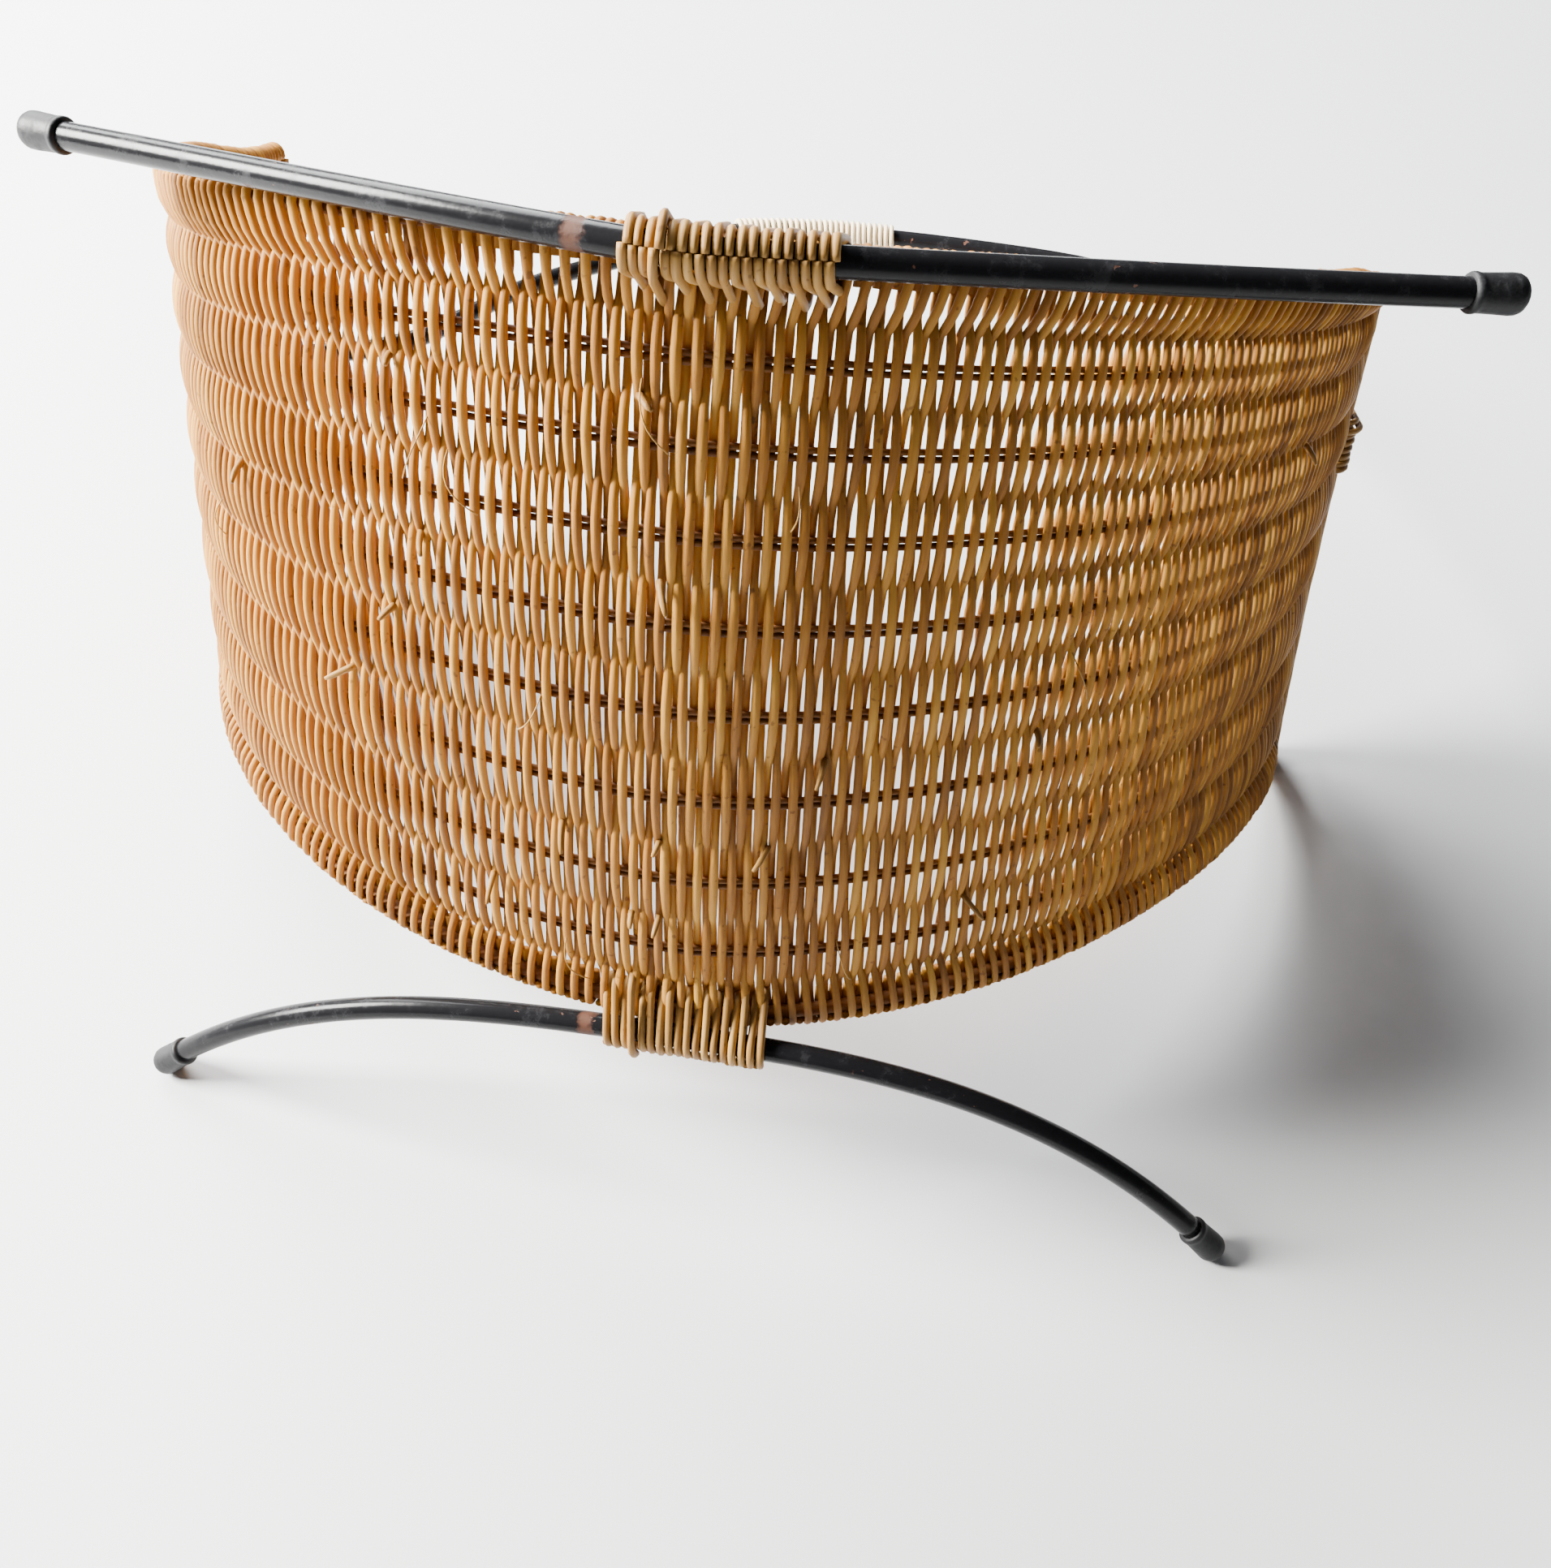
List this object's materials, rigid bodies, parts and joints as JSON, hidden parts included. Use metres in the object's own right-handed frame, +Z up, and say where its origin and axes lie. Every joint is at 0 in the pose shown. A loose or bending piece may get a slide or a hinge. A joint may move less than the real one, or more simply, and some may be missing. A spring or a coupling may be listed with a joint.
{
  "type": "log basket",
  "caption": "Empty woven rattan log basket with a steel bow foot lashed to each end and a steel carrying handle, standing on its end.",
  "frame": {"origin": "centre of the bounding box at the height of the table that the basket stands on", "axes": "+Z up from the table, -Y towards the side on which the underside of the trough and the two bow feet show, +X to the right when seen from there"},
  "size_m": [0.5892, 0.6354, 0.4194],
  "materials": {
    "rattan_weave": "dry natural rattan, lightly polished by use",
    "rattan_stake": "dry natural rattan",
    "cane_lashing": "split cane, satin",
    "pale_cane_grip": "new split cane, satin",
    "black_steel": "worn satin black paint with chips and light rust",
    "black_rubber": "matt black, scuffed"
  },
  "bodies": {
    "root": {"handle_grip_wrap": "pale_cane_grip", "handle_rod": "black_steel", "left_handle_lashing": "cane_lashing", "left_side_rail": "rattan_weave", "lower_bow_lashing": "cane_lashing", "lower_bow_left_cap": "black_rubber", "lower_bow_right_cap": "black_rubber", "lower_bow_rod": "black_steel", "lower_rim_core": "rattan_stake", "lower_rim_wrap": "rattan_weave", "right_handle_lashing": "cane_lashing", "right_side_rail": "rattan_weave", "stake_01a": "rattan_stake", "stake_01b": "rattan_stake", "stake_02a": "rattan_stake", "stake_02b": "rattan_stake", "stake_03a": "rattan_stake", "stake_03b": "rattan_stake", "stake_04a": "rattan_stake", "stake_04b": "rattan_stake", "stake_05a": "rattan_stake", "stake_05b": "rattan_stake", "stake_06a": "rattan_stake", "stake_06b": "rattan_stake", "stake_07a": "rattan_stake", "stake_07b": "rattan_stake", "stake_08a": "rattan_stake", "stake_08b": "rattan_stake", "upper_bow_lashing": "cane_lashing", "upper_bow_left_cap": "black_rubber", "upper_bow_right_cap": "black_rubber", "upper_bow_rod": "black_steel", "upper_rim_core": "rattan_stake", "upper_rim_wrap": "rattan_weave", "weave_inner_01": "rattan_weave", "weave_inner_02": "rattan_weave", "weave_inner_03": "rattan_weave", "weave_inner_04": "rattan_weave", "weave_inner_05": "rattan_weave", "weave_inner_06": "rattan_weave", "weave_inner_07": "rattan_weave", "weave_inner_08": "rattan_weave", "weave_inner_09": "rattan_weave", "weave_inner_10": "rattan_weave", "weave_outer_01": "rattan_weave", "weave_outer_02": "rattan_weave", "weave_outer_03": "rattan_weave", "weave_outer_04": "rattan_weave", "weave_outer_05": "rattan_weave", "weave_outer_06": "rattan_weave", "weave_outer_07": "rattan_weave", "weave_outer_08": "rattan_weave", "weave_outer_09": "rattan_weave", "weave_outer_10": "rattan_weave"}
  },
  "joints": []
}
